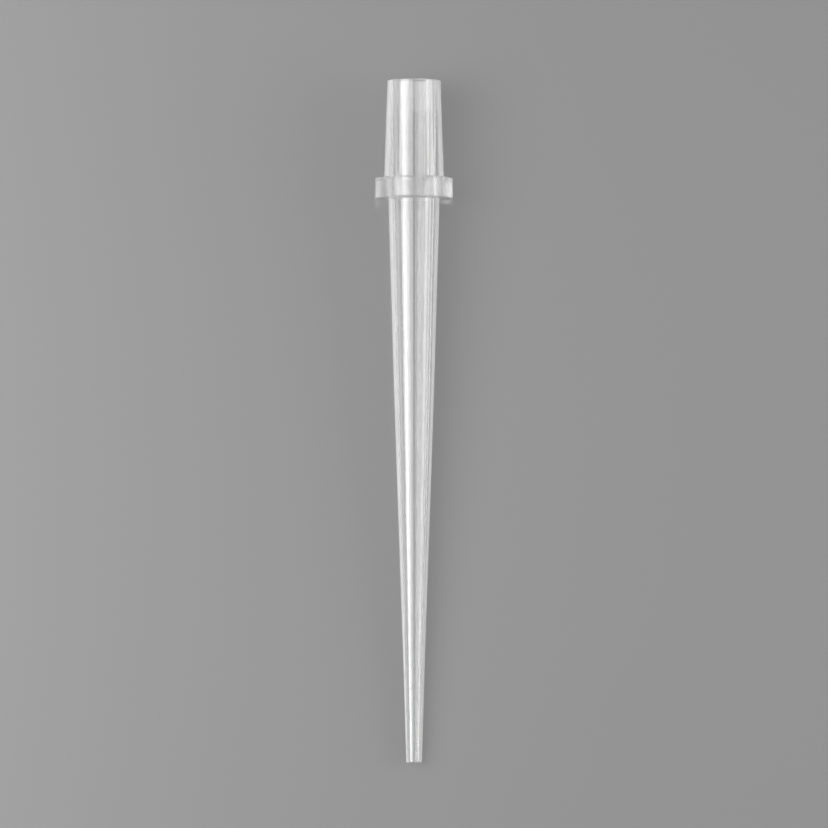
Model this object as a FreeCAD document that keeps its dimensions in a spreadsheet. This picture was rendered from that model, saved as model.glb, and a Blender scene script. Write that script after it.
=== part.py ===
"""Pipette tip, moulded in one piece: a tapered spigot, a round collar and a long tapered body.

The tip is drawn upright about the Z axis, with its small open end at height 0 and its mouth at the
top. Its Placement then lays it down the way a loose tip comes to rest: along +Y, mouth end raised,
on the edge of the small end and the lower edge of the collar. The ground is Z = 0, and the origin
lies under the middle of the tip's box.

Lengths are millimetres. The expressions below read the spreadsheet called Sizes.
"""

import FreeCAD, Part
import os
import Sketcher

NODE = "pipette_tip"
PARTS_FOLDER = "parts"

DRIVING_SIZES = {
    "spigot_length": 21.5,  # collar to mouth
    "spigot_mouth_diameter": 11.7,
    "spigot_root_diameter": 13.1,  # where the spigot meets the collar
    "collar_diameter": 17.0,
    "collar_thickness": 4.5,
    "upper_taper_length": 44.0,  # the body's first stage, next to the collar
    "body_top_diameter": 11.3,
    "middle_taper_length": 57.0,  # the steepest stage
    "middle_taper_top_diameter": 8.75,
    "lower_taper_length": 23.0,  # down to the small end
    "lower_taper_top_diameter": 4.8,
    "small_end_diameter": 3.45,
    "mouth_wall": 1.2,
    "body_top_wall": 1.45,
    "middle_taper_top_wall": 1.15,
    "lower_taper_top_wall": 0.5,
    "small_end_wall": 0.42,
    "edge_round": 0.1,  # on the edges of the collar and of both ends
}

# Heights above the small end
LOWER_TAPER_TOP = "Sizes.lower_taper_length"
MIDDLE_TAPER_TOP = f"{LOWER_TAPER_TOP} + Sizes.middle_taper_length"
BODY_TOP = f"{MIDDLE_TAPER_TOP} + Sizes.upper_taper_length"
COLLAR_TOP = f"{BODY_TOP} + Sizes.collar_thickness"
MOUTH = f"{COLLAR_TOP} + Sizes.spigot_length"

# Outside radii
SMALL_END_RADIUS = "Sizes.small_end_diameter / 2"
LOWER_TAPER_TOP_RADIUS = "Sizes.lower_taper_top_diameter / 2"
MIDDLE_TAPER_TOP_RADIUS = "Sizes.middle_taper_top_diameter / 2"
BODY_TOP_RADIUS = "Sizes.body_top_diameter / 2"
COLLAR_RADIUS = "Sizes.collar_diameter / 2"
SPIGOT_ROOT_RADIUS = "Sizes.spigot_root_diameter / 2"
MOUTH_RADIUS = "Sizes.spigot_mouth_diameter / 2"

# Inside radii
ORIFICE_RADIUS = f"{SMALL_END_RADIUS} - Sizes.small_end_wall"
LOWER_TAPER_TOP_BORE = f"{LOWER_TAPER_TOP_RADIUS} - Sizes.lower_taper_top_wall"
MIDDLE_TAPER_TOP_BORE = f"{MIDDLE_TAPER_TOP_RADIUS} - Sizes.middle_taper_top_wall"
BODY_TOP_BORE = f"{BODY_TOP_RADIUS} - Sizes.body_top_wall"
MOUTH_BORE = f"{MOUTH_RADIUS} - Sizes.mouth_wall"

# The small end's wall is rounded on both sides, so it limits the radius.
ROUND = "min(Sizes.edge_round; Sizes.small_end_wall / 3)"

# At rest the axis leans by the slope of the line from the small end's edge to the collar's lower
# edge. The rounds change this by under a hundredth of a millimetre, so the sharp edges are used.
LEAN = f"atan(({COLLAR_RADIUS} - {SMALL_END_RADIUS}) / ({BODY_TOP}))"
SMALL_END_LIFT = f"{SMALL_END_RADIUS} * cos({LEAN})"
SMALL_END_REACH = f"{SMALL_END_RADIUS} * sin({LEAN})"
MOUTH_REACH = f"{MOUTH_RADIUS} * sin({LEAN}) + ({MOUTH}) * cos({LEAN})"

# Corners are a radius and a height. None is a corner on the axis, or at height 0.
OUTSIDE = (
    (None, None),
    (SMALL_END_RADIUS, None),
    (LOWER_TAPER_TOP_RADIUS, LOWER_TAPER_TOP),
    (MIDDLE_TAPER_TOP_RADIUS, MIDDLE_TAPER_TOP),
    (BODY_TOP_RADIUS, BODY_TOP),
    (COLLAR_RADIUS, BODY_TOP),
    (COLLAR_RADIUS, COLLAR_TOP),
    (SPIGOT_ROOT_RADIUS, COLLAR_TOP),
    (MOUTH_RADIUS, MOUTH),
    (None, MOUTH),
)
BORE = (
    (None, None),
    (ORIFICE_RADIUS, None),
    (LOWER_TAPER_TOP_BORE, LOWER_TAPER_TOP),
    (MIDDLE_TAPER_TOP_BORE, MIDDLE_TAPER_TOP),
    (BODY_TOP_BORE, BODY_TOP),
    (MOUTH_BORE, MOUTH),
    (None, MOUTH),
)
ROUNDED_EDGES = (
    (SMALL_END_RADIUS, None),
    (ORIFICE_RADIUS, None),
    (COLLAR_RADIUS, BODY_TOP),
    (COLLAR_RADIUS, COLLAR_TOP),
    (MOUTH_RADIUS, MOUTH),
    (MOUTH_BORE, MOUTH),
)

HALF_TURN = FreeCAD.Rotation(FreeCAD.Vector(0, 1, 0), 180)


def make_sheet(document):
    """Spreadsheet of the driving sizes, one named cell each."""
    sheet = document.addObject("Spreadsheet::Sheet", "Sizes")
    for row, (name, value) in enumerate(DRIVING_SIZES.items(), start=1):
        sheet.set(f"A{row}", name)
        sheet.set(f"B{row}", str(value))
        sheet.setAlias(f"B{row}", name)
    document.recompute()


def value_of(thing, expression):
    """The number of millimetres that an expression comes to; None is 0."""
    return float(thing.evalExpression(expression)) if expression else 0.0


def origin_feature(body, role):
    """The plane or axis of the body's own origin that has this role."""
    return next(feature for feature in body.Origin.OriginFeatures if feature.Role == role)


def across_axis():
    """The sketch's axis across, as the sketcher numbers it."""
    return -1


def upright_axis():
    """The sketch's upright axis, as the sketcher numbers it."""
    return -2


def start_of(line):
    """The first end of a line, as the sketcher numbers it; that of an axis is the origin."""
    return line, 1


def end_of(line):
    """The second end of a line, as the sketcher numbers it."""
    return line, 2


def hold_corner(sketch, line, kind, axis, expression):
    """Keeps a line's start on an axis, or at the distance that an expression gives."""
    if expression is None:
        sketch.addConstraint(Sketcher.Constraint("PointOnObject", *start_of(line), axis))
        return
    ends = (*start_of(axis), *start_of(line))
    held = sketch.addConstraint(Sketcher.Constraint(kind, *ends, value_of(sketch, expression)))
    sketch.setExpression(f"Constraints[{held}]", expression)


def draw_outline(body, name, corners):
    """Closed outline of straight lines, on the side that is uppermost when the tip lies down.

    Every corner is tied to the sheet.
    """
    sketch = body.newObject("Sketcher::SketchObject", name)
    sketch.AttachmentSupport = (origin_feature(body, "YZ_Plane"), [""])
    sketch.MapMode = "FlatFace"
    sketch.AttachmentOffset = FreeCAD.Placement(FreeCAD.Vector(), HALF_TURN)
    points = [
        FreeCAD.Vector(value_of(sketch, radius), value_of(sketch, height), 0)
        for radius, height in corners
    ]
    following = points[1:] + points[:1]
    for start, end in zip(points, following):
        sketch.addGeometry(Part.LineSegment(start, end))
    for line, (radius, height) in enumerate(corners):
        next_line = (line + 1) % len(corners)
        sketch.addConstraint(Sketcher.Constraint("Coincident", *end_of(line), *start_of(next_line)))
        hold_corner(sketch, line, "DistanceX", upright_axis(), radius)
        hold_corner(sketch, line, "DistanceY", across_axis(), height)
    return sketch


def turn_outline(body, kind, name, sketch):
    """Turns an outline a full circle about the body's Z axis, to add or to cut."""
    feature = body.newObject(kind, name)
    feature.Profile = sketch
    feature.ReferenceAxis = (origin_feature(body, "Z_Axis"), [""])
    feature.Angle = 360
    return feature


def edge_name(body, shape, radius, height):
    """Name of the round edge with this radius at this height."""
    wanted_radius = value_of(body, radius)
    wanted_height = value_of(body, height)

    def miss(numbered_edge):
        edge = numbered_edge[1]
        if not isinstance(edge.Curve, Part.Circle):
            return float("inf")
        return abs(edge.Curve.Radius - wanted_radius) + abs(edge.Curve.Center.z - wanted_height)

    number, _ = min(enumerate(shape.Edges, start=1), key=miss)
    return f"Edge{number}"


def round_edges(body, base):
    """Small rounds that the mould leaves on the collar and on both ends."""
    names = [edge_name(body, base.Shape, radius, height) for radius, height in ROUNDED_EDGES]
    rounds = body.newObject("PartDesign::Fillet", "Rounds")
    rounds.Base = (base, names)
    rounds.setExpression("Radius", ROUND)
    return rounds


def lay_down(body):
    """Lays the upright tip along +Y on the ground, its box's middle over the origin."""
    body.Placement = FreeCAD.Placement(
        FreeCAD.Vector(0, 0, 0), FreeCAD.Rotation(FreeCAD.Vector(-1, 0, 0), 90)
    )
    body.setExpression("Placement.Rotation.Angle", f"90 deg - {LEAN}")
    body.setExpression("Placement.Base.y", f"({SMALL_END_REACH} - ({MOUTH_REACH})) / 2")
    body.setExpression("Placement.Base.z", SMALL_END_LIFT)


def make_tip(document):
    """The whole moulding: outside turned from one outline, bore cut by another, edges rounded."""
    body = document.addObject("PartDesign::Body", "PipetteTip")
    body.Label = NODE
    turn_outline(body, "PartDesign::Revolution", "Outside", draw_outline(body, "OutsideOutline", OUTSIDE))
    document.recompute()
    bore = turn_outline(body, "PartDesign::Groove", "Bore", draw_outline(body, "BoreOutline", BORE))
    document.recompute()
    round_edges(body, bore)
    lay_down(body)
    return body


def check(document, bodies):
    """Stops the run if anything in the document failed or a piece has no sound solid."""
    failed = [thing.Name for thing in document.Objects if {"Invalid", "Error"} & set(thing.State)]
    if failed:
        raise RuntimeError(f"failed to compute: {', '.join(failed)}")
    for body in bodies:
        if body.Shape.isNull() or not body.Shape.isValid():
            raise RuntimeError(f"{body.Label} has no sound solid")


def main():
    """Builds the document and writes one STEP file for each piece."""
    document = FreeCAD.newDocument("PipetteTip")
    make_sheet(document)
    bodies = [make_tip(document)]
    document.recompute()
    check(document, bodies)
    os.makedirs(PARTS_FOLDER, exist_ok=True)
    for body in bodies:
        body.Shape.exportStep(os.path.join(PARTS_FOLDER, f"{body.Label}.step"))
        box = body.Shape.optimalBoundingBox(False, False)
        extents = f"{box.XLength:.3f} x {box.YLength:.3f} x {box.ZLength:.3f} mm"
        print(f"{body.Label}: {extents}, lowest {box.ZMin:.4f}, volume {body.Shape.Volume:.1f} mm3")


main()
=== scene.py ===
"""A large pipette tip of natural polypropylene, lying on a pale bench under soft studio light.

The tip is one moulding, turned about its own axis, so its wall is built as one closed outline that
is swept round. Everything is in metres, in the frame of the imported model: the tip lies along +Y with
its mouth end raised, and the bench is Z = 0.
"""

from __future__ import annotations

import logging
import math
from dataclasses import dataclass, field
from enum import Enum

import bmesh
import bpy
from mathutils import Matrix, Vector

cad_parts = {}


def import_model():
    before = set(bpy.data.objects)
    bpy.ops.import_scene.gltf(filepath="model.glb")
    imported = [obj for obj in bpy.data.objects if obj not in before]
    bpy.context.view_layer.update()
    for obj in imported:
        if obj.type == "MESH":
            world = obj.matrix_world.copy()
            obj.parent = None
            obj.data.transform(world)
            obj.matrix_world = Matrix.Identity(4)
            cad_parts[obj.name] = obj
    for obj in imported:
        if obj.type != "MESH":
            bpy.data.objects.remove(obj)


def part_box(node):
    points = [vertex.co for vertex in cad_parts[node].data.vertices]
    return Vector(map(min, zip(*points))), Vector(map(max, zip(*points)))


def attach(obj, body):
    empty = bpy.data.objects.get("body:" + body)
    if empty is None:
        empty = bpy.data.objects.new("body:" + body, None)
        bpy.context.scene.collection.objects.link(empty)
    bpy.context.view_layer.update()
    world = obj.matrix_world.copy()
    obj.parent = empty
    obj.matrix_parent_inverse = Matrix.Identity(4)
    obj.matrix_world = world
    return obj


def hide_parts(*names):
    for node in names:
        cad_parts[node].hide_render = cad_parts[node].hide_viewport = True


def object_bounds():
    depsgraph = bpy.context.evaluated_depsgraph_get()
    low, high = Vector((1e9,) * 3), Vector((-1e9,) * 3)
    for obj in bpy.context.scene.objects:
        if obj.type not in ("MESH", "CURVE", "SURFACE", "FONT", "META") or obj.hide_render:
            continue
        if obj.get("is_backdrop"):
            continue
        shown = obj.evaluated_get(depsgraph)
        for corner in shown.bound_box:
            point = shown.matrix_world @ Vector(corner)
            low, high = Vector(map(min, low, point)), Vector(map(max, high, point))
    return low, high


LOG = logging.getLogger("pipette_tip")
MM = 0.001
NODE = "pipette_tip"
BODY = "root"
PLACE = "place_in_mould"
GRAIN = "mould_grain"

# Layer Weight's blend at which Facing is 1 less the cosine of the slant
PLAIN_SLANT = 0.5

# The Mix node has several sockets of one name, so they go by number
MIX_SHARE = 0
MIX_FIRST_NUMBER = 2
MIX_SECOND_NUMBER = 3
MIX_NUMBER = 0
MIX_FIRST_COLOUR = 6
MIX_SECOND_COLOUR = 7
MIX_COLOUR = 2


class Wall(Enum):
    """The two faces of the moulded wall, named as the mould maker does."""

    CAVITY = "outside"
    CORE = "bore"


class Flank(Enum):
    """The side of the tip that a lamp hangs on, as the sign of its X."""

    LEFT = -1.0
    RIGHT = 1.0


class Rise(Enum):
    """How a ramp goes from its first value to its last, as the shader node calls it."""

    EVEN = "LINEAR"
    SOFT = "SMOOTHSTEP"


class Join(Enum):
    """How two values are made into one, as the shader node calls it."""

    SUM = "ADD"
    LARGER = "MAXIMUM"


@dataclass(frozen=True)
class Corner:
    """A corner of the wall's outline, drawn upright, with the small end at height 0.

    Attributes:
        radius: distance from the tip's axis.
        height: height above the small end.
        setback: how far before and after the corner its round starts.
        grain: how dull the mould leaves the wall there, from 0, polished, to 1, spark-eroded.
    """

    radius: float
    height: float
    setback: float
    grain: float = 0.0

    def place(self) -> Vector:
        """The corner as a point of the outline's plane."""
        return Vector((self.radius, self.height))


@dataclass(frozen=True)
class OutlinePoint:
    """A point of the finished outline.

    Attributes:
        radius: distance from the tip's axis.
        height: height above the small end.
        normal: the direction that the wall faces there.
        grain: how dull the mould leaves the wall there, from 0 to 1.
    """

    radius: float
    height: float
    normal: tuple[float, float]
    grain: float


def facing(heading: float) -> Vector:
    """The wall's outward direction where the outline runs in this heading, in radians."""
    return Vector((math.sin(heading), -math.cos(heading)))


def heading_of(run: Vector) -> float:
    """The heading of a run of the outline, in radians."""
    return math.atan2(run.y, run.x)


def turn_between(before: float, after: float) -> float:
    """The turn from one heading to the next, from minus half a turn to half a turn."""
    return (after - before + math.pi) % (2 * math.pi) - math.pi


@dataclass(frozen=True)
class Outline:
    """The closed outline of the wall: corners joined by straight runs and rounded.

    Attributes:
        corners: the corners in order, up the outside and down the bore.
        longest_run: the longest distance between two points of a straight run.
        largest_turn: the largest turn between two points of a round, in radians.
        fewest_steps: the fewest steps that a round is drawn in.
    """

    corners: tuple[Corner, ...]
    longest_run: float = 8.0 * MM
    largest_turn: float = math.radians(12)
    fewest_steps: int = 4

    def _round(self, before: Corner, corner: Corner, after: Corner) -> list[OutlinePoint]:
        """The points of one corner's round.

        Args:
            before: the corner that the outline comes from.
            corner: the corner to round.
            after: the corner that the outline goes to.

        Returns:
            The points from the start of the round to its end.
        """
        arriving = heading_of(corner.place() - before.place())
        leaving = heading_of(after.place() - corner.place())
        turn = turn_between(arriving, leaving)
        bend = corner.setback / math.tan(turn / 2)
        start = corner.place() - corner.setback * Vector((math.cos(arriving), math.sin(arriving)))
        middle = start - bend * facing(arriving)
        steps = max(self.fewest_steps, math.ceil(abs(turn) / self.largest_turn))
        points = []
        for step in range(steps + 1):
            out = facing(arriving + turn * step / steps)
            spot = middle + bend * out
            points.append(OutlinePoint(spot.x, spot.y, (out.x, out.y), corner.grain))
        return points

    def _run(self, start: OutlinePoint, end: OutlinePoint) -> list[OutlinePoint]:
        """The points of a straight run between two rounds.

        Args:
            start: the last point of the round before it.
            end: the first point of the round after it.

        Returns:
            The points between them, without the two themselves.
        """
        length = math.hypot(end.radius - start.radius, end.height - start.height)
        pieces = max(1, math.ceil(length / self.longest_run))
        return [
            OutlinePoint(
                start.radius + (end.radius - start.radius) * piece / pieces,
                start.height + (end.height - start.height) * piece / pieces,
                start.normal,
                start.grain + (end.grain - start.grain) * piece / pieces,
            )
            for piece in range(1, pieces)
        ]

    def points(self) -> list[OutlinePoint]:
        """The whole outline.

        Returns:
            Its points, once round, without repeating the first one.
        """
        count = len(self.corners)
        rounds = [
            self._round(self.corners[i - 1], self.corners[i], self.corners[(i + 1) % count])
            for i in range(count)
        ]
        whole: list[OutlinePoint] = []
        for i, rounded in enumerate(rounds):
            whole += rounded
            whole += self._run(rounded[-1], rounds[(i + 1) % count][0])
        return whole


@dataclass(frozen=True)
class TaperedBody:
    """The long body below the collar: three tapers that end in the small open end."""

    small_end_diameter: float = 3.45 * MM
    lower_taper_length: float = 23.0 * MM
    lower_taper_top_diameter: float = 4.8 * MM
    middle_taper_length: float = 57.0 * MM
    middle_taper_top_diameter: float = 8.75 * MM
    upper_taper_length: float = 44.0 * MM
    top_diameter: float = 11.3 * MM
    edge_round: float = 0.13 * MM
    blend: float = 3.0 * MM
    collar_fillet: float = 0.2 * MM

    @property
    def lower_taper_top(self) -> float:
        """Height of the lower taper's top."""
        return self.lower_taper_length

    @property
    def middle_taper_top(self) -> float:
        """Height of the middle taper's top."""
        return self.lower_taper_top + self.middle_taper_length

    @property
    def top(self) -> float:
        """Height of the body's top, where the collar starts."""
        return self.middle_taper_top + self.upper_taper_length

    def outside(self) -> list[Corner]:
        """The body's outside.

        Returns:
            Its corners, from the small end up to the collar.
        """
        return [
            Corner(self.small_end_diameter / 2, 0.0, self.edge_round),
            Corner(self.lower_taper_top_diameter / 2, self.lower_taper_top, self.blend),
            Corner(self.middle_taper_top_diameter / 2, self.middle_taper_top, self.blend),
            Corner(self.top_diameter / 2, self.top, self.collar_fillet),
        ]


@dataclass(frozen=True)
class Collar:
    """The square-edged collar that stops the tip against its holder."""

    diameter: float = 17.0 * MM
    thickness: float = 4.5 * MM
    edge_round: float = 0.2 * MM
    grain: float = 1.0

    def outside(self, base: float) -> list[Corner]:
        """The collar's outside.

        Args:
            base: height of its lower face.

        Returns:
            Its outer corners, from its lower edge up.
        """
        return [
            Corner(self.diameter / 2, base, self.edge_round, self.grain),
            Corner(self.diameter / 2, base + self.thickness, self.edge_round, self.grain),
        ]


@dataclass(frozen=True)
class Spigot:
    """The open tapered spigot above the collar, which a holder grips."""

    length: float = 21.5 * MM
    root_diameter: float = 13.1 * MM
    mouth_diameter: float = 11.7 * MM
    mouth_round: float = 0.2 * MM
    root_fillet: float = 0.2 * MM

    def outside(self, base: float) -> list[Corner]:
        """The spigot's outside.

        Args:
            base: height of the collar's upper face.

        Returns:
            Its corners, from the collar up to the mouth.
        """
        return [
            Corner(self.root_diameter / 2, base, self.root_fillet),
            Corner(self.mouth_diameter / 2, base + self.length, self.mouth_round),
        ]


@dataclass(frozen=True)
class Bore:
    """The bore that the core pin leaves, as the wall's thickness along the tip."""

    mouth_wall: float = 1.2 * MM
    body_top_wall: float = 1.45 * MM
    middle_taper_top_wall: float = 1.15 * MM
    lower_taper_top_wall: float = 0.5 * MM
    small_end_wall: float = 0.42 * MM
    mouth_round: float = 0.2 * MM
    small_end_round: float = 0.13 * MM
    blend: float = 3.0 * MM

    def inside(self, body: TaperedBody, spigot: Spigot, mouth: float) -> list[Corner]:
        """The bore's corners from the mouth down to the small end.

        Args:
            body: the tapered body outside the bore.
            spigot: the spigot outside the bore.
            mouth: height of the mouth.

        Returns:
            The corners, in the order in which the outline goes on down the bore.
        """
        return [
            Corner(spigot.mouth_diameter / 2 - self.mouth_wall, mouth, self.mouth_round),
            Corner(body.top_diameter / 2 - self.body_top_wall, body.top, self.blend),
            Corner(
                body.middle_taper_top_diameter / 2 - self.middle_taper_top_wall,
                body.middle_taper_top,
                self.blend,
            ),
            Corner(
                body.lower_taper_top_diameter / 2 - self.lower_taper_top_wall,
                body.lower_taper_top,
                self.blend,
            ),
            Corner(body.small_end_diameter / 2 - self.small_end_wall, 0.0, self.small_end_round),
        ]


def slant_seen(tree: bpy.types.NodeTree) -> bpy.types.NodeSocket:
    """How slanted a face is seen.

    Args:
        tree: the nodes to add to.

    Returns:
        The slant, from 0, square on, to 1, along the face.
    """
    seen = tree.nodes.new("ShaderNodeLayerWeight")
    seen.inputs["Blend"].default_value = PLAIN_SLANT
    return seen.outputs["Facing"]


def ramp(
    tree: bpy.types.NodeTree,
    value: bpy.types.NodeSocket,
    source: tuple[float, float],
    target: tuple[float, float],
    rise: Rise = Rise.SOFT,
) -> bpy.types.NodeSocket:
    """Carries a value from one range to another, and holds it at both ends.

    Args:
        tree: the nodes to add to.
        value: the value to carry.
        source: the range that it comes from.
        target: the range that it goes to.
        rise: how it goes through the range.

    Returns:
        The carried value.
    """
    carried = tree.nodes.new("ShaderNodeMapRange")
    carried.interpolation_type = rise.value
    carried.inputs["From Min"].default_value, carried.inputs["From Max"].default_value = source
    carried.inputs["To Min"].default_value, carried.inputs["To Max"].default_value = target
    tree.links.new(value, carried.inputs["Value"])
    return carried.outputs["Result"]


def joined(
    tree: bpy.types.NodeTree,
    join: Join,
    first: bpy.types.NodeSocket,
    second: bpy.types.NodeSocket,
) -> bpy.types.NodeSocket:
    """Makes two values into one.

    Args:
        tree: the nodes to add to.
        join: how they are made into one.
        first: the first value.
        second: the second value.

    Returns:
        The one value.
    """
    both = tree.nodes.new("ShaderNodeMath")
    both.operation = join.value
    tree.links.new(first, both.inputs[0])
    tree.links.new(second, both.inputs[1])
    return both.outputs["Value"]


@dataclass(frozen=True)
class SkinPattern:
    """An uneven pattern in the moulded skin, laid out by its place in the mould.

    Attributes:
        around: how fine it is around the tip.
        along: how fine it is along the tip.
        detail: how much finer detail it has.
    """

    around: float
    along: float
    detail: float

    def noise(
        self, tree: bpy.types.NodeTree, place: bpy.types.NodeSocket
    ) -> bpy.types.NodeSocket:
        """The pattern as noise.

        Args:
            tree: the nodes to add to.
            place: the place in the mould.

        Returns:
            The noise, about 0 to 1.
        """
        stretch = tree.nodes.new("ShaderNodeMapping")
        stretch.inputs["Scale"].default_value = (self.around, self.around, self.along)
        noise = tree.nodes.new("ShaderNodeTexNoise")
        noise.inputs["Scale"].default_value = 1.0  # the stretch alone sets how fine it is
        noise.inputs["Detail"].default_value = self.detail
        tree.links.new(place, stretch.inputs["Vector"])
        tree.links.new(stretch.outputs["Vector"], noise.inputs["Vector"])
        return noise.outputs["Fac"]


@dataclass(frozen=True)
class NaturalPolypropylene:
    """Uncoloured polypropylene: clear enough to look into, a little milky, glossy from the mould.

    Attributes:
        name: what the finish is called.
        tint: its colour.
        refraction: its index of refraction.
        clearness: the share of light that goes through the wall where it is seen square on.
        edge_clearness: the same share where it is seen at a slant.
        slant: the slants, from 0 square on to 1 along the wall, between which the share falls.
        grain_clearness: the same share, at every slant, where the mould is spark-eroded.
        milkiness: how much light each metre of it scatters.
        lets_light_by: the share of a lamp's light that each face lets through to what is behind.
        polish: roughness where the mould is polished.
        matt: roughness where the mould is spark-eroded.
        uneven: how much the roughness wanders.
        uneven_ripple: the ripple's values between which it wanders.
        fog_from: height above the small end at which the fogged mouth starts, on average.
        fog_wander: how far that height wanders in all.
        fog_fade: the height over which the fog comes in.
        fog_milkiness: how much less clear the fogged mouth is.
        fog_roughness: how much rougher the fogged mouth is.
        flow: the fine lines along the flow.
        flow_depth: depth of the fine lines.
        ripple: the faint ripple that the skin has all over.
        ripple_depth: depth of the ripple.
    """

    name: str = "natural polypropylene"
    tint: tuple[float, float, float] = (0.99, 0.99, 0.99)
    refraction: float = 1.49
    clearness: float = 0.965
    edge_clearness: float = 0.47
    slant: tuple[float, float] = (0.32, 0.56)
    grain_clearness: float = 0.955
    milkiness: float = 8.0
    lets_light_by: float = 0.88
    polish: float = 0.015
    matt: float = 0.22
    uneven: float = 0.01
    uneven_ripple: tuple[float, float] = (0.35, 0.7)
    fog_from: float = 141.5 * MM
    fog_wander: float = 6.0 * MM
    fog_fade: float = 3.0 * MM
    fog_milkiness: float = 0.04
    fog_roughness: float = 0.08
    flow: SkinPattern = SkinPattern(around=13.0, along=14.0, detail=3.0)
    flow_depth: float = 0.0005 * MM
    ripple: SkinPattern = SkinPattern(around=4.0, along=240.0, detail=2.0)
    ripple_depth: float = 0.001 * MM

    def material(self) -> bpy.types.Material:
        """The finish as a new material.

        Returns:
            The material, with the wall's skin and the milk inside it.
        """
        made = bpy.data.materials.new(self.name)
        made.use_nodes = True
        tree = made.node_tree
        skin = tree.nodes["Principled BSDF"]
        skin.inputs["Base Color"].default_value = (*self.tint, 1.0)
        skin.inputs["IOR"].default_value = self.refraction

        place = self._attribute(tree, PLACE).outputs["Vector"]
        grain = self._attribute(tree, GRAIN).outputs["Fac"]
        ripple = self.ripple.noise(tree, place)
        fogged = self._fog(tree, place, ripple)
        tree.links.new(self._clearness(tree, grain, fogged), skin.inputs["Transmission Weight"])
        tree.links.new(self._roughness(tree, grain, fogged, ripple), skin.inputs["Roughness"])
        tree.links.new(self._relief(tree, place, ripple), skin.inputs["Normal"])

        ends = tree.nodes["Material Output"].inputs
        tree.links.new(self._lit_through(tree, skin.outputs["BSDF"]), ends["Surface"])
        tree.links.new(self._milk(tree), ends["Volume"])
        return made

    def _fog(
        self, tree: bpy.types.NodeTree, place: bpy.types.NodeSocket, ripple: bpy.types.NodeSocket
    ) -> bpy.types.NodeSocket:
        """Where the mouth is fogged, with an uneven lower edge.

        Args:
            tree: the finish's nodes.
            place: the place in the mould.
            ripple: the skin's ripple.

        Returns:
            How fogged the wall is, from 0 to 1.
        """
        parts = tree.nodes.new("ShaderNodeSeparateXYZ")
        tree.links.new(place, parts.inputs["Vector"])
        wander = tree.nodes.new("ShaderNodeMath")
        wander.operation = "MULTIPLY_ADD"
        wander.inputs[1].default_value = self.fog_wander
        tree.links.new(ripple, wander.inputs[0])
        tree.links.new(parts.outputs["Z"], wander.inputs[2])
        start = self.fog_from + self.fog_wander / 2
        return ramp(tree, wander.outputs["Value"], (start, start + self.fog_fade), (0.0, 1.0))

    def _clearness(
        self,
        tree: bpy.types.NodeTree,
        grain: bpy.types.NodeSocket,
        fogged: bpy.types.NodeSocket,
    ) -> bpy.types.NodeSocket:
        """How clear the wall is, which falls at a slant, in the mould's grain and in the fog.

        Args:
            tree: the finish's nodes.
            grain: how dull the mould leaves the wall.
            fogged: how fogged the wall is.

        Returns:
            The share of light that goes through.
        """
        smooth = ramp(tree, slant_seen(tree), self.slant, (self.clearness, self.edge_clearness))
        clear = self._blend(tree, grain, smooth, self.grain_clearness)
        less = ramp(tree, fogged, (0.0, 1.0), (0.0, -self.fog_milkiness))
        return joined(tree, Join.SUM, clear, less)

    def _roughness(
        self,
        tree: bpy.types.NodeTree,
        grain: bpy.types.NodeSocket,
        fogged: bpy.types.NodeSocket,
        ripple: bpy.types.NodeSocket,
    ) -> bpy.types.NodeSocket:
        """How rough the wall is: the mould's grain, the fogged mouth and a slight wander.

        Args:
            tree: the finish's nodes.
            grain: how dull the mould leaves the wall.
            fogged: how fogged the wall is.
            ripple: the skin's ripple.

        Returns:
            The roughness.
        """
        gloss = ramp(tree, grain, (0.0, 1.0), (self.polish, self.matt), Rise.EVEN)
        wander = ramp(tree, ripple, self.uneven_ripple, (0.0, self.uneven), Rise.EVEN)
        dull = ramp(tree, fogged, (0.0, 1.0), (0.0, self.fog_roughness))
        return joined(tree, Join.SUM, joined(tree, Join.SUM, gloss, wander), dull)

    def _relief(
        self, tree: bpy.types.NodeTree, place: bpy.types.NodeSocket, ripple: bpy.types.NodeSocket
    ) -> bpy.types.NodeSocket:
        """The relief of the uneven skin: the flow's fine lines, with the ripple over them.

        Args:
            tree: the finish's nodes.
            place: the place in the mould.
            ripple: the skin's ripple.

        Returns:
            The direction that the skin faces.
        """
        lines = self._bump(tree, self.flow.noise(tree, place), self.flow_depth)
        rippled = self._bump(tree, ripple, self.ripple_depth)
        tree.links.new(lines.outputs["Normal"], rippled.inputs["Normal"])
        return rippled.outputs["Normal"]

    def _lit_through(
        self, tree: bpy.types.NodeTree, skin: bpy.types.NodeSocket
    ) -> bpy.types.NodeSocket:
        """Lets the lamps' light by: shadow rays and rays from matt surfaces meet a see-through face.

        Args:
            tree: the finish's nodes.
            skin: the shader that every other ray meets.

        Returns:
            The shader of the two.
        """
        gap = tree.nodes.new("ShaderNodeBsdfTransparent")
        gap.inputs["Color"].default_value = (self.lets_light_by,) * 3 + (1.0,)
        rays = tree.nodes.new("ShaderNodeLightPath").outputs
        passing = joined(tree, Join.LARGER, rays["Is Shadow Ray"], rays["Is Diffuse Ray"])
        either = tree.nodes.new("ShaderNodeMixShader")
        tree.links.new(passing, either.inputs["Fac"])
        tree.links.new(skin, either.inputs[1])
        tree.links.new(gap.outputs["BSDF"], either.inputs[2])
        return either.outputs["Shader"]

    def _milk(self, tree: bpy.types.NodeTree) -> bpy.types.NodeSocket:
        """The milk inside the wall.

        Args:
            tree: the finish's nodes.

        Returns:
            The shader that scatters light inside the wall.
        """
        milk = tree.nodes.new("ShaderNodeVolumeScatter")
        milk.inputs["Color"].default_value = (*self.tint, 1.0)
        milk.inputs["Density"].default_value = self.milkiness
        return milk.outputs["Volume"]

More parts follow.
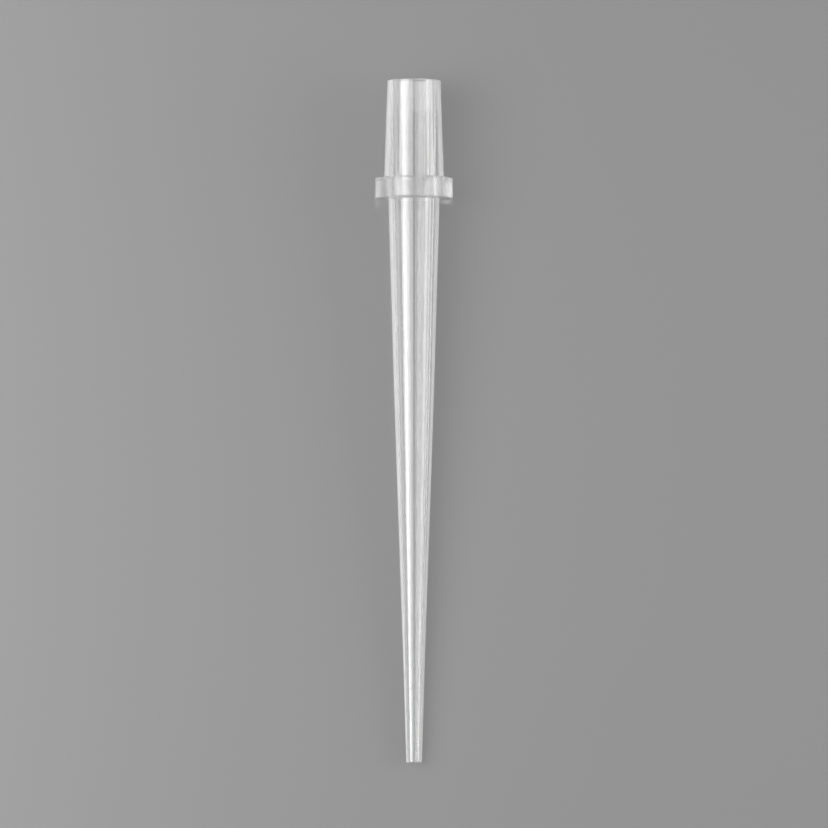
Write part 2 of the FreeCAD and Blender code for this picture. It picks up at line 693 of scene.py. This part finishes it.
    @staticmethod
    def _attribute(tree: bpy.types.NodeTree, name: str) -> bpy.types.Node:
        """Reads a value that the mesh carries.

        Args:
            tree: the finish's nodes.
            name: the value's name.

        Returns:
            The node that reads it.
        """
        read = tree.nodes.new("ShaderNodeAttribute")
        read.attribute_name = name
        return read

    @staticmethod
    def _bump(
        tree: bpy.types.NodeTree, height: bpy.types.NodeSocket, depth: float
    ) -> bpy.types.Node:
        """A relief of one pattern.

        Args:
            tree: the finish's nodes.
            height: the pattern.
            depth: how deep it is.

        Returns:
            The node that gives the relief.
        """
        bump = tree.nodes.new("ShaderNodeBump")
        bump.inputs["Distance"].default_value = depth
        tree.links.new(height, bump.inputs["Height"])
        return bump

    @staticmethod
    def _blend(
        tree: bpy.types.NodeTree,
        share: bpy.types.NodeSocket,
        value: bpy.types.NodeSocket,
        other: float,
    ) -> bpy.types.NodeSocket:
        """Goes from a value to another, fixed one.

        Args:
            tree: the finish's nodes.
            share: the fixed value's share, from 0 to 1.
            value: the value at a share of 0.
            other: the fixed value, at a share of 1.

        Returns:
            The blended value.
        """
        both = tree.nodes.new("ShaderNodeMix")
        both.data_type = "FLOAT"
        tree.links.new(share, both.inputs[MIX_SHARE])
        tree.links.new(value, both.inputs[MIX_FIRST_NUMBER])
        both.inputs[MIX_SECOND_NUMBER].default_value = other
        return both.outputs[MIX_NUMBER]


@dataclass(frozen=True)
class BenchLaminate:
    """Pale grey laminate under a thin lacquer, with a very faint mottle.

    Attributes:
        name: what the finish is called.
        light: the mottle's lighter colour.
        dark: the mottle's darker colour.
        mottle_scale: how fine the mottle is, over the whole width of the bench.
        roughness: roughness of the laminate under the lacquer.
        bare_shine: how strongly the laminate itself shines.
        lacquer: how strongly the lacquer shines where it is seen from above.
        low_lacquer: the same where it is seen at a low angle.
        slant: the slants, from 0 square on to 1 along the bench, between which that changes.
        lacquer_roughness: roughness of the lacquer.
        lacquer_refraction: the lacquer's index of refraction.
    """

    name: str = "pale bench laminate"
    light: tuple[float, float, float] = (0.285, 0.285, 0.285)
    dark: tuple[float, float, float] = (0.27, 0.27, 0.27)
    mottle_scale: float = 9.0
    roughness: float = 0.5
    bare_shine: float = 0.06
    lacquer: float = 1.0
    low_lacquer: float = 0.03
    slant: tuple[float, float] = (0.48, 0.68)
    lacquer_roughness: float = 0.18
    lacquer_refraction: float = 1.62

    def material(self) -> bpy.types.Material:
        """The finish as a new material.

        Returns:
            The material, with the mottled laminate and its lacquer.
        """
        made = bpy.data.materials.new(self.name)
        made.use_nodes = True
        tree = made.node_tree
        skin = tree.nodes["Principled BSDF"]
        skin.inputs["Roughness"].default_value = self.roughness
        skin.inputs["Specular IOR Level"].default_value = self.bare_shine
        skin.inputs["Coat Roughness"].default_value = self.lacquer_roughness
        skin.inputs["Coat IOR"].default_value = self.lacquer_refraction
        levels = (self.lacquer, self.low_lacquer)
        shine = ramp(tree, slant_seen(tree), self.slant, levels, Rise.EVEN)
        tree.links.new(shine, skin.inputs["Coat Weight"])
        mottle = tree.nodes.new("ShaderNodeTexNoise")
        mottle.inputs["Scale"].default_value = self.mottle_scale
        shade = tree.nodes.new("ShaderNodeMix")
        shade.data_type = "RGBA"
        shade.inputs[MIX_FIRST_COLOUR].default_value = (*self.dark, 1.0)
        shade.inputs[MIX_SECOND_COLOUR].default_value = (*self.light, 1.0)
        tree.links.new(mottle.outputs["Fac"], shade.inputs[MIX_SHARE])
        tree.links.new(shade.outputs[MIX_COLOUR], skin.inputs["Base Color"])
        return made


@dataclass
class PipetteTip:
    """The whole moulding.

    Attributes:
        finish: its one plastic.
        body: the long body below the collar.
        collar: the collar.
        spigot: the spigot above the collar.
        bore: the bore from end to end.
        facets: how many flat faces go once round the mesh.
    """

    finish: NaturalPolypropylene = field(default_factory=NaturalPolypropylene)
    body: TaperedBody = field(default_factory=TaperedBody)
    collar: Collar = field(default_factory=Collar)
    spigot: Spigot = field(default_factory=Spigot)
    bore: Bore = field(default_factory=Bore)
    facets: int = 256

    @property
    def mouth(self) -> float:
        """Height of the mouth above the small end."""
        return self.body.top + self.collar.thickness + self.spigot.length

    @property
    def lean(self) -> float:
        """How far the axis rises towards the mouth when the tip lies on its collar, in radians."""
        rise = (self.collar.diameter - self.body.small_end_diameter) / 2
        return math.atan2(rise, self.body.top)

    def corners(self, wall: Wall) -> list[Corner]:
        """The corners of one face of the wall.

        Args:
            wall: which face.

        Returns:
            Its corners, in the outline's order.
        """
        if wall is Wall.CAVITY:
            return [
                *self.body.outside(),
                *self.collar.outside(self.body.top),
                *self.spigot.outside(self.body.top + self.collar.thickness),
            ]
        return self.bore.inside(self.body, self.spigot, self.mouth)

    def lying(self) -> Matrix:
        """The move from upright to lying along +Y on the bench."""
        return Matrix.Rotation(self.lean - math.pi / 2, 4, "X")

    def mesh(self) -> bpy.types.Mesh:
        """The swept wall, lying down, with exact normals.

        Returns:
            A closed mesh in metres, not yet set over the origin.
        """
        outline = Outline((*self.corners(Wall.CAVITY), *self.corners(Wall.CORE))).points()
        lying = self.lying()
        shape = bmesh.new()
        rings, normals, places, grains = [], [], [], []
        for point in outline:
            ring = []
            for facet in range(self.facets):
                angle = 2 * math.pi * facet / self.facets
                across, up = math.sin(angle), math.cos(angle)
                spot = Vector((point.radius * across, point.radius * up, point.height))
                ring.append(shape.verts.new(lying @ spot))
                out = Vector((point.normal[0] * across, point.normal[0] * up, point.normal[1]))
                normals.append(lying @ out)
                places.append((across, up, point.height))
                grains.append(point.grain)
            rings.append(ring)
        for ring, following in zip(rings, rings[1:] + rings[:1]):
            for facet in range(self.facets):
                beside = (facet + 1) % self.facets
                shape.faces.new((ring[facet], following[facet], following[beside], ring[beside]))
        bmesh.ops.recalc_face_normals(shape, faces=shape.faces)
        mesh = bpy.data.meshes.new(NODE)
        shape.to_mesh(mesh)
        shape.free()
        mesh.shade_smooth()
        mesh.normals_split_custom_set_from_vertices(normals)
        place = mesh.attributes.new(PLACE, "FLOAT_VECTOR", "POINT")
        place.data.foreach_set("vector", [number for spot in places for number in spot])
        grain = mesh.attributes.new(GRAIN, "FLOAT", "POINT")
        grain.data.foreach_set("value", grains)
        return mesh

    def settle(self, mesh: bpy.types.Mesh) -> None:
        """Sets the mesh over the origin, inside the box of the solid that it stands for.

        Args:
            mesh: the lying tip, changed in place.
        """
        lowest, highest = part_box(NODE)
        spots = [vertex.co for vertex in mesh.vertices]
        low = Vector(min(spot[axis] for spot in spots) for axis in range(3))
        high = Vector(max(spot[axis] for spot in spots) for axis in range(3))
        room = highest - lowest
        size = high - low
        fit = min(1.0, *(room[axis] / size[axis] for axis in range(3)))
        mesh.transform(
            Matrix.Translation((lowest + highest) / 2)
            @ Matrix.Scale(fit, 4)
            @ Matrix.Translation(-(low + high) / 2)
        )

    def build(self) -> bpy.types.Object:
        """Builds the tip, dresses it and puts it in the frame in place of the plain solid.

        Returns:
            The dressed tip.
        """
        mesh = self.mesh()
        self.settle(mesh)
        tip = bpy.data.objects.new("moulded_tip", mesh)
        bpy.context.scene.collection.objects.link(tip)
        mesh.materials.append(self.finish.material())
        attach(tip, BODY)
        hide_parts(NODE)
        LOG.info("%s: %d faces, rides on %s", tip.name, len(mesh.polygons), BODY)
        return tip


@dataclass(frozen=True)
class Bench:
    """The plain bench top that the tip lies on.

    Attributes:
        finish: its laminate.
        reach: how far it reaches each way from its middle.
        divisions: how many faces its mesh has along each side.
    """

    finish: BenchLaminate = field(default_factory=BenchLaminate)
    reach: float = 12.0
    divisions: int = 8

    def build(self) -> bpy.types.Object:
        """Lays the bench top at Z = 0 and keeps it apart from the object.

        Returns:
            The bench top.
        """
        shape = bmesh.new()
        bmesh.ops.create_grid(
            shape, x_segments=self.divisions, y_segments=self.divisions, size=self.reach
        )
        mesh = bpy.data.meshes.new("bench_top")
        shape.to_mesh(mesh)
        shape.free()
        mesh.materials.append(self.finish.material())
        top = bpy.data.objects.new("bench_top", mesh)
        bpy.context.scene.collection.objects.link(top)
        top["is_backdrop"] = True
        LOG.info("%s: stage", top.name)
        return top


@dataclass(frozen=True)
class Softbox:
    """A soft rectangular lamp beside the tip, aimed at it.

    Attributes:
        name: what the lamp is called.
        flank: the side of the tip that it hangs on.
        swing: how far from straight overhead it hangs, in radians.
        distance: how far it is from the tip.
        width: its size across the tip.
        length: its size along the tip.
        brightness: the watts that each square metre of its face gives off, over pi.
    """

    name: str
    flank: Flank
    swing: float
    distance: float
    width: float
    length: float
    brightness: float

    def hang(self, target: Vector) -> bpy.types.Object:
        """Hangs the lamp so that its face looks at the target.

        Args:
            target: the place that it lights.

        Returns:
            The lamp.
        """
        light = bpy.data.lights.new(self.name, "AREA")
        light.shape = "RECTANGLE"
        light.size = self.width
        light.size_y = self.length
        light.energy = self.brightness * math.pi * self.width * self.length
        lamp = bpy.data.objects.new(self.name, light)
        across = self.flank.value * math.sin(self.swing) * self.distance
        up = math.cos(self.swing) * self.distance
        lamp.location = target + Vector((across, 0.0, up))
        lamp.rotation_euler = (0.0, self.flank.value * self.swing, 0.0)
        bpy.context.scene.collection.objects.link(lamp)
        LOG.info("%s: lamp on the %s", lamp.name, self.flank.name.lower())
        return lamp


@dataclass(frozen=True)
class Studio:
    """The pale room round the bench and its lamps.

    Attributes:
        room: the room's colour.
        room_level: how much light the room gives to matt surfaces.
        wall_level: how bright its walls look, also in what is shiny or clear.
        lamps: the lamps that hang over the bench.
    """

    room: tuple[float, float, float] = (1.0, 1.0, 1.0)
    room_level: float = 0.2
    wall_level: float = 0.33
    lamps: tuple[Softbox, ...] = (
        Softbox(
            name="left_softbox",
            flank=Flank.LEFT,
            swing=math.radians(43),
            distance=0.6,
            width=0.39,
            length=0.4,
            brightness=5.5,
        ),
        Softbox(
            name="high_left_softbox",
            flank=Flank.LEFT,
            swing=math.radians(15.5),
            distance=2.1,
            width=0.75,
            length=1.35,
            brightness=2.6,
        ),
        Softbox(
            name="right_softbox",
            flank=Flank.RIGHT,
            swing=math.radians(67),
            distance=0.7,
            width=0.39,
            length=0.45,
            brightness=5.3,
        ),
    )

    def build(self, target: Vector) -> None:
        """Lights the room and hangs the lamps round the target.

        Args:
            target: the place that the lamps light.
        """
        world = bpy.data.worlds.new("room")
        world.use_nodes = True
        tree = world.node_tree
        background = tree.nodes["Background"]
        background.inputs["Color"].default_value = (*self.room, 1.0)
        rays = tree.nodes.new("ShaderNodeLightPath").outputs
        seen = rays["Is Camera Ray"]
        for kind in ("Is Glossy Ray", "Is Transmission Ray"):
            seen = joined(tree, Join.LARGER, seen, rays[kind])
        level = ramp(tree, seen, (0.0, 1.0), (self.room_level, self.wall_level), Rise.EVEN)
        tree.links.new(level, background.inputs["Strength"])
        bpy.context.scene.world = world
        for lamp in self.lamps:
            lamp.hang(target)


@dataclass(frozen=True)
class StillCamera:
    """A camera high over the bench with a long lens, so that the tip's sides stay parallel.

    Attributes:
        distance: how far the camera is from the tip.
        towards_small_end: how far it stands off from overhead, on the small end's side, in radians.
        field: width of what it sees at the tip.
        headroom: how far above the tip's middle the picture's middle lies.
        sidestep: how far to the right of the tip's middle the picture's middle lies.
        film_width: width of its film, in millimetres.
        nearest: the nearest thing that it can see.
        farthest: the farthest thing that it can see.
    """

    distance: float = 5.0
    towards_small_end: float = math.radians(7.0)
    field: float = 181.6 * MM
    headroom: float = 1.12 * MM
    sidestep: float = -0.01 * MM
    film_width: float = 36.0
    nearest: float = 0.1
    farthest: float = 20.0

    def build(self, target: Vector) -> bpy.types.Object:
        """Sets the camera over the target and makes it the scene's own.

        Args:
            target: the middle of the tip.

        Returns:
            The camera.
        """
        film = bpy.data.cameras.new("still_camera")
        film.sensor_width = self.film_width
        film.lens = self.film_width * self.distance / self.field
        film.clip_start = self.nearest
        film.clip_end = self.farthest
        camera = bpy.data.objects.new("still_camera", film)
        tip = Matrix.Rotation(self.towards_small_end, 4, "X")
        aim = target + Vector((self.sidestep, self.headroom, 0.0))
        back = Matrix.Translation((0.0, 0.0, self.distance))
        camera.matrix_world = Matrix.Translation(aim) @ tip @ back
        bpy.context.scene.collection.objects.link(camera)
        bpy.context.scene.camera = camera
        LOG.info("%s: %.0f mm lens", camera.name, film.lens)
        return camera


def main() -> None:
    """Builds the tip, its bench, the studio and the camera."""
    logging.basicConfig(level=logging.INFO, format="%(name)s: %(message)s")
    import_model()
    solid_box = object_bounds()
    bpy.context.scene.view_settings.view_transform = "Standard"
    PipetteTip().build()
    Bench().build()
    lowest, highest = solid_box
    middle = (lowest + highest) / 2
    Studio().build(middle)
    StillCamera().build(middle)


if __name__ == "__main__":
    main()
